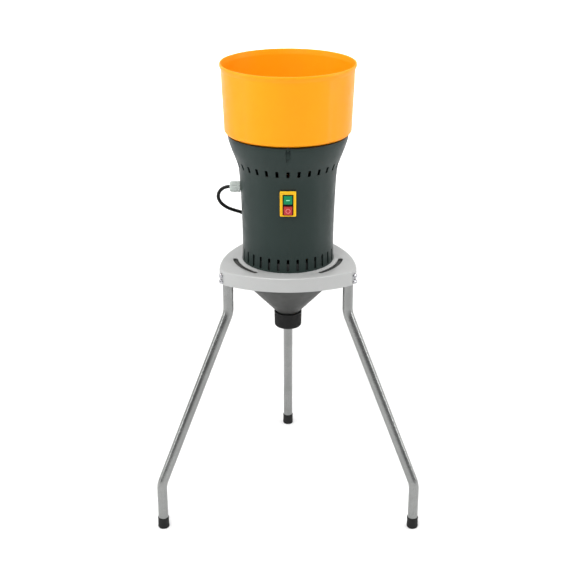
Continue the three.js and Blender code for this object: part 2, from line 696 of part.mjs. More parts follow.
addPiece("stand_plate", standPlate(), "silver");
for (const [side, angle] of Object.entries(legAngles)) {
  addPiece(`leg_${side}`, legTube(angle), "tube");
  addPiece(`foot_cap_${side}`, footCap(angle), "black");
  stand.boltDrops.forEach((drop, i) => {
    addPiece(`leg_bolt_${side}_${i + 1}`, legBolt(angle, drop), "steel");
  });
}
addPiece("body_shell", bodyShell(), "green");
sideAngles.forEach((angle, i) => addPiece(`hopper_screw_${i + 1}`, hopperScrew(angle), "steel"));
addPiece("hopper", hopperShell(), "orange");
addPiece("feed_gate", feedGate(), "steel");
addPiece("grain_chute", grainChute(), "grey");
addPiece("mill_head", millHead(), "green");
headBolt.angles.forEach((angle, i) => addPiece(`head_bolt_${i + 1}`, headBoltAt(angle), "steel"));
addPiece("motor_housing", motorHousing(), "silver");
addPiece("motor_windings", windings(), "copper");
addPiece("motor_end_shield", endShield(), "silver");
addPiece("motor_shaft", motorShaft(), "steel");
addPiece("motor_armature", armature(), "steel");
addPiece("cooling_fan", coolingFan(), "black");
addPiece("lower_bearing", bearingRace(head.bottom + 4 + GAP), "steel");
addPiece("upper_bearing", bearingRace(motor.top - 1.5), "steel");
addPiece("start_capacitor", startCapacitor(), "paleGrey");
addPiece("rotor_discs", rotorDiscs(), "steel");
addPiece("rotor_nut", shaftNut(), "steel");
everyAngle(4).forEach((angle, i) => {
  addPiece(`hammer_${i + 1}`, hammerBar(angle), "steel");
  addPiece(`hammer_pin_${i + 1}`, hammerPin(angle), "steel");
});
addPiece("sieve_cup", sieveCup(), "steel");
addPiece("discharge_funnel", dischargeFunnel(), "grey");
sideAngles.forEach((angle, i) => addPiece(`funnel_nut_${i + 1}`, funnelNut(angle), "steel"));
addPiece("spout_collar", spoutCollar(), "black");
addPiece("switch_bezel", switchBezel(), "yellow");
addPiece("switch_body", switchBody(), "black");
addPiece("start_button", pushButton(start), "startGreen");
addPiece("stop_button", pushButton(stop), "stopRed");
addPiece("gland_body", glandBody(), "paleGrey");
addPiece("gland_nut", glandNut(), "paleGrey");
addPiece("power_cord", cordTube(leadRoute, 34), "black");
addPiece("cord_hank", hankSolid(), "black");
addPiece("cord_tail", cordTube(tailRoute, 3), "black");
addPiece("cord_tie", cordTie(), "black");
addPiece("mains_plug", mainsPlug(), "black");

export default machine;
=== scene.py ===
# A small upright hammer mill for grain on a three-legged tube stand, built over its CAD frame.
# Shapes are made in millimetres about the mill's upright axis, with the front towards -Y and the floor at
# z = 0, and place() then puts them into the frame, in metres.
import math

import bmesh
import bpy
from mathutils import Matrix, Vector


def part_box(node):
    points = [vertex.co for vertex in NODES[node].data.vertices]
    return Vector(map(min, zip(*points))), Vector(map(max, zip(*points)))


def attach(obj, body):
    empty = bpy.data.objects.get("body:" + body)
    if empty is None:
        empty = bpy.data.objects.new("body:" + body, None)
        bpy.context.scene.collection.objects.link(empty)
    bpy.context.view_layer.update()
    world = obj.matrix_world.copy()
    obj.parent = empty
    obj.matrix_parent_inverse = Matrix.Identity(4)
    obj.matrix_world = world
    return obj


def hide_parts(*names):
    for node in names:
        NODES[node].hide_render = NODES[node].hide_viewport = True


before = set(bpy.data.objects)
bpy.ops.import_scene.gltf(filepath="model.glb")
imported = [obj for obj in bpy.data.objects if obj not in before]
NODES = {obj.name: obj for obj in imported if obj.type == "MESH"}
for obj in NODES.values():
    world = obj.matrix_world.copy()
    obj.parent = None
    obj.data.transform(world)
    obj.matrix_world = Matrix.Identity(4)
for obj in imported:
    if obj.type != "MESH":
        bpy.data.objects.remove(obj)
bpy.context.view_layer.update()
MM = 0.001  # metres

shell_low, shell_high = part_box("body_shell")
AXIS_Y = (shell_low.y + shell_high.y) / 2
TO_FRAME = Matrix.Translation((0, AXIS_Y, 0)) @ Matrix.Scale(MM, 4)

# ---- Driving dimensions, in millimetres ---------------------------------------------------------

PLATE_TOP = 707
PLATE_SHEET = 3
PLATE_SKIRT = 37.5
PLATE_HOLE = 97  # radius, under the mill
SIDE_MIDDLE = 157.5
SIDE_RADIUS = 300
CORNER_FLAT = 195.5
SIDE_ANGLES = (-90, 30, 150)
LEG_ANGLES = {"front_right": -30, "rear": 90, "front_left": -150}
BOLT_DROPS = (14.5, 30.5)  # below the plate's top
BOLT = 3  # radius
WELD_NUT = 5.6  # radius, for the bolts, inside the tubes' inner wall
WELD_NUT_THICK = 5
STUD_AT = 139
STUD = 3  # radius
STUD_LENGTH = 24
LEG_TUBE = 13.4  # radius
LEG_WALL = 2
LEG_BEND = 65  # radius of its two bends
LEG_TOP_AT = 178.8
LEG_FOOT_AT = 388
KNEE_HIGH = 586
KNEE_LOW = 131
HOPPER_TOP = 1222
HOPPER_LOW = 1043.3
RIM = 171  # radius
OUTLET_Y = 80
GATE_TOP = 985.8
GATE_THICK = 2.5
GATE_HALF = 27
GLAND_Z = 900
CORD = 4.5  # radius


# ---- Mesh helpers -------------------------------------------------------------------------------

def new_object(name, bm):
    bmesh.ops.remove_doubles(bm, verts=bm.verts, dist=1e-4)
    bmesh.ops.recalc_face_normals(bm, faces=bm.faces)
    mesh = bpy.data.meshes.new(name)
    bm.to_mesh(mesh)
    bm.free()
    made = bpy.data.objects.new(name, mesh)
    bpy.context.scene.collection.objects.link(made)
    return made


def rounded(corners, closed=True, steps=5):
    """Corners as (x, y) or (x, y, fillet), with each filleted corner turned into a short smooth arc."""
    points = []
    count = len(corners)
    for i, corner in enumerate(corners):
        here = Vector(corner[:2])
        fillet = corner[2] if len(corner) > 2 else 0
        if not fillet or (not closed and i in (0, count - 1)):
            points.append(here)
            continue
        before = Vector(corners[i - 1][:2]) - here
        after = Vector(corners[(i + 1) % count][:2]) - here
        turn = before.angle(after) / 2
        reach = min(fillet / math.tan(turn), before.length * 0.49, after.length * 0.49)
        start = here + before.normalized() * reach
        end = here + after.normalized() * reach
        for k in range(steps + 1):
            t = k / steps
            points.append(start * (1 - t) ** 2 + here * 2 * t * (1 - t) + end * t ** 2)
    return points


def lathe(name, corners, segments=128, closed=True, centres=None):
    """Turns (radius, z, fillet) corners round the axis. centres(z) gives the centre y of the circle at z."""
    points = rounded(corners, closed)
    bm = bmesh.new()
    rings = []
    for i, (radius, z) in enumerate(points):
        y = centres(z) if centres else 0
        rings.append([
            bm.verts.new((radius * math.cos(a), y + radius * math.sin(a), z))
            for a in (2 * math.pi * k / segments for k in range(segments))
        ])
    pairs = list(zip(rings, rings[1:]))
    if closed:
        pairs.append((rings[-1], rings[0]))
    for low, high in pairs:
        for k in range(segments):
            n = (k + 1) % segments
            bm.faces.new((low[k], low[n], high[n], high[k]))
    return new_object(name, bm)


def prism(name, loop, low, high):
    """An upright solid over a flat loop of (x, y) points."""
    bm = bmesh.new()
    bottom = [bm.verts.new((x, y, low)) for x, y in loop]
    top = [bm.verts.new((x, y, high)) for x, y in loop]
    bm.faces.new(bottom[::-1])
    bm.faces.new(top)
    for k in range(len(loop)):
        n = (k + 1) % len(loop)
        bm.faces.new((bottom[k], bottom[n], top[n], top[k]))
    return new_object(name, bm)


def rectangle(half_x, half_y, fillet, steps=5):
    corners = [(-half_x, -half_y), (half_x, -half_y), (half_x, half_y), (-half_x, half_y)]
    return rounded([(x, y, fillet) for x, y in corners], steps=steps)


def circle(radius, count=48):
    return [(radius * math.cos(2 * math.pi * k / count), radius * math.sin(2 * math.pi * k / count))
            for k in range(count)]


def moved(made, matrix):
    made.data.transform(matrix)
    if matrix.determinant() < 0:
        made.data.flip_normals()
    return made


def join(name, parts):
    bm = bmesh.new()
    for part in parts:
        bm.from_mesh(part.data)
        bpy.data.objects.remove(part)
    mesh = bpy.data.meshes.new(name)
    bm.to_mesh(mesh)
    bm.free()
    made = bpy.data.objects.new(name, mesh)
    bpy.context.scene.collection.objects.link(made)
    return made


def applied(made):
    """The object with its modifiers turned into mesh."""
    bpy.context.view_layer.update()
    evaluated = made.evaluated_get(bpy.context.evaluated_depsgraph_get())
    mesh = bpy.data.meshes.new_from_object(evaluated)
    made.modifiers.clear()
    made.data = mesh
    return made


def boolean(made, other, operation="DIFFERENCE"):
    modifier = made.modifiers.new("boolean", "BOOLEAN")
    modifier.operation = operation
    modifier.object = other
    modifier.solver = "EXACT"
    modifier.use_self = False
    applied(made)
    bpy.data.objects.remove(other)
    return made


def bevelled(made, width, segments=2, angle=35):
    modifier = made.modifiers.new("bevel", "BEVEL")
    modifier.width = width
    modifier.segments = segments
    modifier.limit_method = "ANGLE"
    modifier.angle_limit = math.radians(angle)
    modifier.use_clamp_overlap = True
    return applied(made)


def place(made, material, body="mill", replaces=(), sharp=35):
    """Puts a finished shape into the frame, on its body, in place of its CAD nodes."""
    made.data.transform(TO_FRAME)
    made.data.materials.clear()
    made.data.materials.append(material)
    made.data.shade_smooth()
    made.data.set_sharp_from_angle(angle=math.radians(sharp))
    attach(made, body)
    if replaces:
        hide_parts(*replaces)
    return made


def around(radius, degrees, z=0):
    a = math.radians(degrees)
    return Vector((radius * math.cos(a), radius * math.sin(a), z))


def outward(degrees, z):
    """Lays a shape built along +Z so that it points outwards at an azimuth, at a height."""
    turn = Matrix.Rotation(math.radians(degrees), 4, "Z") @ Matrix.Rotation(math.radians(90), 4, "Y")
    return Matrix.Translation((0, 0, z)) @ turn


def facing_front(x, z, front):
    """Lays a shape built along +Z so that it faces the front, with its z = 0 at the distance given."""
    return Matrix(((1, 0, 0, x), (0, 0, -1, -front), (0, 1, 0, z), (0, 0, 0, 1)))


def facing_back(z):
    """Lays a shape built along +Z so that it faces the back, at a height."""
    return Matrix(((-1, 0, 0, 0), (0, 0, 1, 0), (0, 1, 0, z), (0, 0, 0, 1)))


# ---- Camera -------------------------------------------------------------------------------------

CAMERA_BACK = 3.0  # metres in front of the mill's axis
CAMERA_HEIGHT = 1.86
CAMERA_DOWN = 22.5  # degrees below level
LENS = 76.25
SENSOR = 36


def add_camera():
    data = bpy.data.cameras.new("camera")
    data.lens = LENS
    data.sensor_width = SENSOR
    camera = bpy.data.objects.new("camera", data)
    camera.location = (0, AXIS_Y - CAMERA_BACK, CAMERA_HEIGHT)
    camera.rotation_euler = (math.radians(90 - CAMERA_DOWN), 0, 0)
    bpy.context.scene.collection.objects.link(camera)
    bpy.context.scene.camera = camera


# ---- Materials ----------------------------------------------------------------------------------

class Nodes:
    """A small wrapper that adds shader nodes and links them by name."""

    def __init__(self, name):
        self.material = bpy.data.materials.new(name)
        self.material.use_nodes = True
        self.tree = self.material.node_tree
        self.shader = self.tree.nodes["Principled BSDF"]

    def add(self, kind, inputs=(), **settings):
        node = self.tree.nodes.new(kind)
        for key, value in settings.items():
            setattr(node, key, value)
        for key, value in dict(inputs).items():
            if isinstance(value, bpy.types.NodeSocket):
                self.tree.links.new(value, node.inputs[key])
            else:
                node.inputs[key].default_value = value
        return node

    def coords(self, stretch=(1, 1, 1)):
        inputs = {"Vector": self.add("ShaderNodeTexCoord").outputs["Object"], "Scale": stretch}
        return self.add("ShaderNodeMapping", inputs).outputs[0]

    def noise(self, scale, detail=4, rough=0.55, stretch=(1, 1, 1)):
        inputs = {"Vector": self.coords(stretch), "Scale": scale, "Detail": detail, "Roughness": rough}
        return self.add("ShaderNodeTexNoise", inputs).outputs["Fac"]

    def remap(self, value, low, high, to_low, to_high):
        inputs = {"Value": value, "From Min": low, "From Max": high, "To Min": to_low, "To Max": to_high}
        return self.add("ShaderNodeMapRange", inputs).outputs["Result"]

    def times(self, a, b):
        return self.add("ShaderNodeMath", {0: a, 1: b}, operation="MULTIPLY").outputs[0]

    def mix(self, factor, a, b):
        node = self.add("ShaderNodeMix", data_type="RGBA")
        for key, value in ((0, factor), (6, a), (7, b)):
            if isinstance(value, bpy.types.NodeSocket):
                self.tree.links.new(value, node.inputs[key])
            else:
                node.inputs[key].default_value = value
        return node.outputs[2]

    def bump(self, height, distance, strength=1.0, normal=None):
        inputs = {"Height": height, "Distance": distance, "Strength": strength}
        if normal is not None:
            inputs["Normal"] = normal
        return self.add("ShaderNodeBump", inputs).outputs["Normal"]

    def link(self, socket, name):
        self.tree.links.new(socket, self.shader.inputs[name])

    def set(self, **values):
        for name, value in values.items():
            self.shader.inputs[name.replace("_", " ")].default_value = value


def shade(colour, factor):
    return tuple(min(c * factor, 1) for c in colour[:3]) + (1,)


def up_facing(nodes):
    """1 on a face that looks up, 0 on a face that looks sideways or down."""
    normal = nodes.add("ShaderNodeNewGeometry").outputs["Normal"]
    split = nodes.add("ShaderNodeSeparateXYZ", {0: normal})
    return nodes.remap(split.outputs["Z"], 0.3, 0.95, 0, 1)


def plastic(name, colour, roughness, grain=1400, depth=0.00004, mottle=0.05, dust=0.0, scatter=0.0):
    """Moulded plastic: slow tone changes, a fine moulded grain, uneven gloss and a little dust on top."""
    nodes = Nodes(name)
    slow = nodes.noise(7, 5)
    tone = nodes.remap(slow, 0.3, 0.7, 0, 1)
    base = nodes.mix(tone, shade(colour, 1 - mottle), shade(colour, 1 + mottle))
    if dust:
        cover = nodes.remap(nodes.noise(26, 6, 0.7), 0.42, 0.72, 0, dust)
        base = nodes.mix(nodes.times(cover, up_facing(nodes)), base, (0.62, 0.6, 0.52, 1))
    nodes.link(base, "Base Color")
    gloss = nodes.noise(38, 6, 0.65)
    nodes.link(nodes.remap(gloss, 0.3, 0.7, roughness - 0.07, roughness + 0.07), "Roughness")
    fine = nodes.noise(grain, 2, 0.5)
    waves = nodes.bump(nodes.noise(9, 2), 0.0006, 0.25)
    nodes.link(nodes.bump(fine, depth, 1.0, waves), "Normal")
    nodes.set(Specular_IOR_Level=0.2)
    if scatter:
        nodes.set(Subsurface_Weight=scatter, Subsurface_Scale=0.004)
    return nodes.material


def metal(name, colour, roughness, metallic=1.0, stretch=(1, 1, 1), grain=900, depth=0.00002, marks=0.12):
    """Drawn, rolled or zinc-plated metal: fine lines along its length and patches of tone."""
    nodes = Nodes(name)
    patch = nodes.noise(14, 6, 0.6)
    lines = nodes.noise(grain, 3, 0.6, stretch)
    tone = nodes.remap(patch, 0.35, 0.65, 0, 1)
    base = nodes.mix(tone, shade(colour, 1 - marks), shade(colour, 1 + marks * 0.4))
    nodes.link(base, "Base Color")
    streak = nodes.remap(lines, 0.3, 0.7, -0.06, 0.06)
    rough = nodes.remap(patch, 0.3, 0.7, roughness - 0.05, roughness + 0.07)
    nodes.link(nodes.add("ShaderNodeMath", {0: rough, 1: streak}, operation="ADD").outputs[0], "Roughness")
    nodes.link(nodes.bump(lines, depth), "Normal")
    nodes.set(Metallic=metallic)
    return nodes.material


def painted(name, colour, roughness):
    """Powder coat: a fine orange-peel skin with sparse brighter flecks."""
    nodes = Nodes(name)
    slow = nodes.noise(5, 4)
    flecks = nodes.remap(nodes.noise(2600, 2), 0.62, 0.72, 0, 0.25)
    base = nodes.mix(nodes.remap(slow, 0.3, 0.7, 0, 1), shade(colour, 0.96), shade(colour, 1.03))
    nodes.link(nodes.mix(flecks, base, shade(colour, 1.3)), "Base Color")
    nodes.link(nodes.remap(nodes.noise(30, 5), 0.3, 0.7, roughness - 0.05, roughness + 0.06), "Roughness")
    nodes.link(nodes.bump(nodes.noise(420, 2), 0.00006, 0.6), "Normal")
    nodes.set(Metallic=0.15)
    return nodes.material


def rubber(name, colour, roughness=0.62):
    nodes = Nodes(name)
    scuffs = nodes.remap(nodes.noise(60, 8, 0.75), 0.5, 0.8, 0, 0.35)
    nodes.link(nodes.mix(scuffs, shade(colour, 0.9), shade(colour, 2.2)), "Base Color")
    nodes.link(nodes.remap(nodes.noise(90, 4), 0.3, 0.7, roughness - 0.08, roughness + 0.1), "Roughness")
    nodes.link(nodes.bump(nodes.noise(1800, 2), 0.00005), "Normal")
    nodes.set(Specular_IOR_Level=0.2)
    return nodes.material


def perforated(name, colour, hole=0.0022, roughness=0.38):
    """Sheet metal with rows of small round holes, as the sieve has: near-black dots, which are painted shade
    for the openings, with a pressed edge.
    """
    nodes = Nodes(name)
    inputs = {"Vector": nodes.coords(), "Scale": 0.5 / hole, "Randomness": 0.0}
    cells = nodes.add("ShaderNodeTexVoronoi", inputs)
    inside = nodes.remap(cells.outputs["Distance"], 0.3, 0.36, 1, 0)
    tone = nodes.remap(nodes.noise(20, 5), 0.3, 0.7, 0, 1)
    base = nodes.mix(tone, shade(colour, 0.85), shade(colour, 1.05))
    # The near-black in the holes is painted shade.
    nodes.link(nodes.mix(inside, base, (0.01, 0.01, 0.01, 1)), "Base Color")
    nodes.link(nodes.bump(inside, -0.0006), "Normal")
    nodes.link(nodes.remap(inside, 0, 1, roughness, 0.9), "Roughness")
    nodes.set(Metallic=0.9)
    return nodes.material


def windings(name):
    """Varnished copper wire laid in rows, darker in the grooves between the rows, which is painted shade."""
    nodes = Nodes(name)
    inputs = {"Vector": nodes.coords(), "Scale": 190, "Distortion": 3, "Detail": 2}
    wave = nodes.add("ShaderNodeTexWave", inputs, bands_direction="Z")
    # The dark brown where the bands run low is painted shade between the wires; the light end is the copper's
    # colour.
    nodes.link(nodes.mix(wave.outputs["Fac"], (0.16, 0.05, 0.02, 1), (0.55, 0.24, 0.1, 1)), "Base Color")
    nodes.link(nodes.bump(wave.outputs["Fac"], 0.0004), "Normal")
    nodes.link(nodes.remap(nodes.noise(40, 4), 0.3, 0.7, 0.25, 0.45), "Roughness")
    nodes.set(Metallic=0.7)
    return nodes.material


ORANGE = plastic("orange_plastic", (0.97, 0.335, 0.003), 0.42, grain=900, depth=0.00002, mottle=0.02,
                 scatter=0.15)
GREEN = plastic("green_black_plastic", (0.017, 0.029, 0.026), 0.4, grain=1500, depth=0.00005, dust=0.06)
SILVER = painted("silver_paint", (0.44, 0.445, 0.44), 0.4)
# The near-black here is painted shade: on the mill head and the motor it stands in for the darkness seen
# through the vents.
VENT_SHADE_DARK = painted("vent_shade_dark_paint", (0.018, 0.019, 0.019), 0.5)
TUBE = metal("drawn_tube", (0.27, 0.275, 0.27), 0.24, metallic=0.95, stretch=(1, 1, 0.02))
ZINC = metal("zinc_plate", (0.5, 0.5, 0.52), 0.18)
STEEL = metal("bare_steel", (0.45, 0.45, 0.46), 0.34, grain=500)
GREY = plastic("grey_plastic", (0.048, 0.049, 0.047), 0.5, grain=1100, depth=0.00006)
BLACK = plastic("black_plastic", (0.008, 0.008, 0.008), 0.5, grain=1100, depth=0.00006, mottle=0.1)
PALE = plastic("pale_grey_plastic", (0.48, 0.52, 0.495), 0.45, mottle=0.03)
YELLOW = plastic("yellow_plastic", (0.9, 0.52, 0.012), 0.33, mottle=0.02, depth=0.00002)
START = plastic("green_button", (0.004, 0.22, 0.085), 0.35, mottle=0.03, depth=0.00002)
STOP = plastic("red_button", (0.44, 0.035, 0.035), 0.35, mottle=0.03, depth=0.00002)
START_SIGN = plastic("start_button_mark", (0.3, 0.75, 0.5), 0.4, mottle=0.02, depth=0.00002)
STOP_SIGN = plastic("stop_button_mark", (0.68, 0.16, 0.16), 0.4, mottle=0.02, depth=0.00002)
RUBBER = rubber("black_rubber", (0.014, 0.014, 0.014))
CORD_RUBBER = rubber("cord_rubber", (0.008, 0.008, 0.008), 0.5)
SIEVE = perforated("perforated_steel", (0.5, 0.5, 0.51))
COPPER = windings("copper_windings")


# ---- Mains cord ---------------------------------------------------------------------------------

HANK_LOW = 709
HANK_MIDDLE = 155
HANK_FOLD = 27.5
HANK_HALF_RUN = 36.2
HANK_TURNS = 4.5
HANK_PITCH = 9.1
HANK_HIGH = HANK_LOW + 2 * CORD + HANK_TURNS * HANK_PITCH
PLUG_X = -12
PLUG_Y = 167
PLUG_Z = HANK_HIGH + 10.5
PLUG_TAIL = 16
PLUG_BODY = 38
PIN = 2.4  # radius
PIN_SIDE = 9.5
PIN_LENGTH = 18.5
TIE_HALF_WIDTH = 4
CORD_EXIT = (-150.2, 0, GLAND_Z)
LEAD_ROUTE = [
    CORD_EXIT, (-157.7, 0, 899.2), (-166, 0.3, 896.2), (-174, 1.3, 889.8), (-179.2, 3, 879.6),
    (-180, 6.2, 868), (-176.2, 11, 856), (-168.8, 17.5, 845), (-159, 26, 835), (-147.6, 36, 826.2),
    (-135.4, 47.6, 818.2), (-124, 60.6, 809.6), (-114.6, 75, 798.6), (-108.4, 88.6, 783.6),
    (-104.6, 98, 765.6), (-100.4, 104, 746), (-93.6, 108.2, 728.6), (-82.5, 111.6, 717.2), (-70, 114, 713.6),
    (-59, 116.4, 713.2),
]
TAIL_ROUTE = [
    (31, 177.5, HANK_HIGH - 1), (20, 172, HANK_HIGH + 5.2), (8, 169, HANK_HIGH + 8.6),
    (-3, 167.4, PLUG_Z - 0.2), (PLUG_X, PLUG_Y, PLUG_Z),
]


def hank_points():
    """The folded length: turns on top of each other, each with an inner and an outer run and two folds."""
    span = HANK_HALF_RUN / HANK_MIDDLE
    back = math.pi / 2
    loop = []
    runs, folds = 9, 8
    for side, radius in ((1, HANK_MIDDLE - HANK_FOLD), (-1, HANK_MIDDLE + HANK_FOLD)):
        for k in range(runs):
            a = back + side * span - side * 2 * span * k / runs
            loop.append(Vector((math.cos(a), math.sin(a))) * radius)
        for k in range(folds):
            a = math.pi * k / folds
            loop.append(fold_point(back - side * span, -side, -side * math.cos(a), math.sin(a)))
    count = round(HANK_TURNS * len(loop))
    rise = HANK_TURNS * HANK_PITCH / count
    low = HANK_LOW + CORD
    return [(*loop[k % len(loop)], low + rise * k) for k in range(count + 1)]


def fold_point(angle, side, out, along):
    """A point on the fold at one end of the hank."""
    radial = Vector((math.cos(angle), math.sin(angle)))
    tangent = Vector((-radial.y, radial.x)) * side
    return radial * HANK_MIDDLE + (radial * out + tangent * along) * HANK_FOLD


def smooth_route(points, steps=6):
    """A smooth line through the points."""
    line = [Vector(point) for point in points]
    ends = [2 * line[0] - line[1], *line, 2 * line[-1] - line[-2]]
    made = []
    for a, b, c, d in zip(ends, ends[1:], ends[2:], ends[3:]):
        for k in range(steps):
            t = k / steps
            made.append(0.5 * (2 * b + (c - a) * t + (2 * a - 5 * b + 4 * c - d) * t ** 2
                               + (3 * b - a - 3 * c + d) * t ** 3))
    made.append(line[-1])
    return made


def add_cord():
    line = smooth_route([*LEAD_ROUTE, *hank_points(), *TAIL_ROUTE])
    line = [TO_FRAME @ p for p in line]
    curve = bpy.data.curves.new("mains_cord", "CURVE")
    curve.dimensions = "3D"
    curve.bevel_depth = CORD * MM
    curve.bevel_resolution = 5
    curve.use_fill_caps = True
    spline = curve.splines.new("POLY")
    spline.points.add(len(line) - 1)
    for point, place_at in zip(spline.points, line):
        point.co = (*place_at, 1)
    spline.use_smooth = True
    cord = bpy.data.objects.new("mains_cord", curve)
    bpy.context.scene.collection.objects.link(cord)
    curve.materials.append(CORD_RUBBER)
    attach(cord, "mill")
    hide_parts("power_cord", "cord_hank", "cord_tail")
    plug = add_plug()
    pins = add_plug_pins()
    tie = add_cord_tie()


def add_plug():
    """A moulded two-pin plug that lies on the hank, with a ribbed strain relief."""
    block = prism("plug_moulding", rectangle(17, 10, 5), 0, PLUG_BODY)
    block = bevelled(block, 2.4, 3, 50)
    grooves = []
    for k in range(5):
        for side in (-1, 1):
            groove = prism("groove", rectangle(20, 0.9, 0.4), 8 + 5 * k, 10 + 5 * k)
            grooves.append(moved(groove, Matrix.Translation((0, side * 10.3, 0))))
    boolean(block, join("grooves", grooves))
    relief = [(0, -1), (6.5, -1), (6.2, 0)]
    for k in range(4):
        relief += [(6.0 - 0.4 * k, 1 + 3.6 * k, 0.3), (6.0 - 0.4 * k, 3 + 3.6 * k, 0.3),
                   (4.9, 3.2 + 3.6 * k), (4.9, 4.4 + 3.6 * k)]
    relief += [(4.8, PLUG_TAIL, 0.3), (0, PLUG_TAIL)]
    tail = moved(lathe("tail", relief, 32, closed=False), Matrix.Rotation(math.pi, 4, "X"))
    plug = join("plug_moulding", [block, tail])
    turn = Matrix.Translation((PLUG_X - PLUG_TAIL, PLUG_Y, PLUG_Z)) @ Matrix(
        ((0, 0, -1, 0), (1, 0, 0, 0), (0, -1, 0, 0), (0, 0, 0, 1)))
    return place(moved(plug, turn), BLACK, replaces=["mains_plug"])


def add_plug_pins():
    pins = []
    face = PLUG_X - PLUG_TAIL - PLUG_BODY
    for side in (-PIN_SIDE, PIN_SIDE):
        pin = lathe("pin", [(0, 0), (PIN, 0), (PIN, PIN_LENGTH, 1.6), (0, PIN_LENGTH)], 24, closed=False)
        at = Matrix.Translation((face, PLUG_Y + side, PLUG_Z))
        pins.append(moved(pin, at @ Matrix.Rotation(-math.pi / 2, 4, "Y")))
    return place(join("plug_pins", pins), ZINC)


def add_cord_tie():
    half_y = HANK_FOLD + CORD + 0.9
    half_z = (HANK_HIGH - HANK_LOW) / 2 + 0.75
    band = prism("hank_tie", rectangle(half_y, half_z, 3.2), -TIE_HALF_WIDTH, TIE_HALF_WIDTH)
    past = TIE_HALF_WIDTH + 2
    hole = prism("hole", rectangle(half_y - 0.8, half_z - 0.7, 2.6), -past, past)
    boolean(band, hole)
    bevelled(band, 0.25, 2)
    lock = prism("lock", rectangle(4, 2.4, 0.8), -3.4, 3.4)
    lock = moved(lock, Matrix.Translation((12, half_z + 1.2, 0)))
    band = join("hank_tie", [band, bevelled(lock, 0.4, 2)])
    turn = Matrix.Translation((0, HANK_MIDDLE, (HANK_LOW + HANK_HIGH) / 2)) @ Matrix(
        ((0, 0, 1, 0), (1, 0, 0, 0), (0, 1, 0, 0), (0, 0, 0, 1)))
    return place(moved(band, turn), BLACK, replaces=["cord_tie"])


# ---- Stand --------------------------------------------------------------------------------------

def plate_loop(inset):
    """The plate's outline: three arcs between three short flats, with softened corners."""
    middle = SIDE_RADIUS - SIDE_MIDDLE
    radius = SIDE_RADIUS - inset
    flat = CORNER_FLAT - inset
    along = math.sqrt(radius ** 2 - (flat + middle / 2) ** 2) - middle * math.cos(math.radians(30))
    corners = []
    for angle in SIDE_ANGLES:
        centre = around(-middle, angle)
        corner = around(1, angle + 60)
        end = corner * flat + Vector((corner.y, -corner.x, 0)) * along
        span = math.atan2((end - centre).y, (end - centre).x) - math.radians(angle)
        span = math.atan2(math.sin(span), math.cos(span))
        for k in range(41):
            a = math.radians(angle) - span + 2 * span * k / 40
            point = centre + Vector((math.cos(a), math.sin(a), 0)) * radius
            corners.append((point.x, point.y, 9 if k in (0, 40) else 0))
    return rounded(corners, steps=4)


def loft(name, loops):
    """A closed solid through loops of equal length, each a (points, z), capped at both ends."""
    bm = bmesh.new()
    rings = [[bm.verts.new((x, y, z)) for x, y in points] for points, z in loops]
    for low, high in zip(rings, rings[1:]):
        for k in range(len(low)):
            n = (k + 1) % len(low)
            bm.faces.new((low[k], low[n], high[n], high[k]))
    bm.faces.new(rings[0])
    bm.faces.new(rings[-1])
    return new_object(name, bm)


def bend_loops(inset, high, low, radius):
    """From the top face round the bend and down the skirt."""
    loops = []
    for k in range(6):
        a = math.pi / 2 * k / 5
        loops.append((plate_loop(inset + radius * (1 - math.sin(a))), high - radius * (1 - math.cos(a))))
    loops.append((plate_loop(inset), low))
    return loops


def arc_slot(angle, inner=132, outer=145, half_angle=23):
    middle = (inner + outer) / 2
    half = (outer - inner) / 2
    loop = []
    steps = 24
    for k in range(steps + 1):
        loop.append(around(outer, angle - half_angle + 2 * half_angle * k / steps).xy)
    end = around(middle, angle + half_angle)
    loop += [(end + around(half, angle + half_angle + t)).xy for t in (30, 60, 90, 120, 150)]
    for k in range(steps + 1):
        loop.append(around(inner, angle + half_angle - 2 * half_angle * k / steps).xy)
    end = around(middle, angle - half_angle)
    loop += [(end + around(half, angle - half_angle + t)).xy for t in (210, 240, 270, 300, 330)]
    return prism("slot", loop, PLATE_TOP - 12, PLATE_TOP + 4)


def add_stand_plate():
    low = PLATE_TOP - PLATE_SKIRT
    plate = loft("plate_pressing", bend_loops(0, PLATE_TOP, low, 3.5))
    inside = loft("inside", bend_loops(PLATE_SHEET, PLATE_TOP - PLATE_SHEET, low - 2, 1.5))
    boolean(plate, inside)
    cuts = [prism("hole", circle(PLATE_HOLE, 96), PLATE_TOP - 12, PLATE_TOP + 4)]
    cuts += [arc_slot(angle) for angle in LEG_ANGLES.values()]
    for angle in LEG_ANGLES.values():
        for drop in BOLT_DROPS:
            hole = prism("bolt_hole", circle(BOLT + 0.3, 24), CORNER_FLAT - 8, CORNER_FLAT + 4)
            cuts.append(moved(hole, outward(angle, PLATE_TOP - drop)))
    boolean(plate, join("cuts", cuts))
    bevelled(plate, 0.5, 2, 50)
    studs = []
    for angle in SIDE_ANGLES:
        low, high = PLATE_TOP - STUD_LENGTH, PLATE_TOP - 2
        stud = lathe("stud", [(0, low), (STUD, low, 0.6), (STUD, high), (0, high)], 24, closed=False)
        studs.append(moved(stud, Matrix.Translation(around(STUD_AT, angle))))
    place(join("plate_studs", studs), ZINC)
    place(plate, SILVER, replaces=["stand_plate"])


def leg_line():
    corners = [(LEG_TOP_AT, PLATE_TOP - PLATE_SHEET - 1, 0), (LEG_TOP_AT, KNEE_HIGH, LEG_BEND),
               (LEG_FOOT_AT, KNEE_LOW, LEG_BEND), (LEG_FOOT_AT, 5.3, 0)]
    return rounded(corners, closed=False, steps=12)


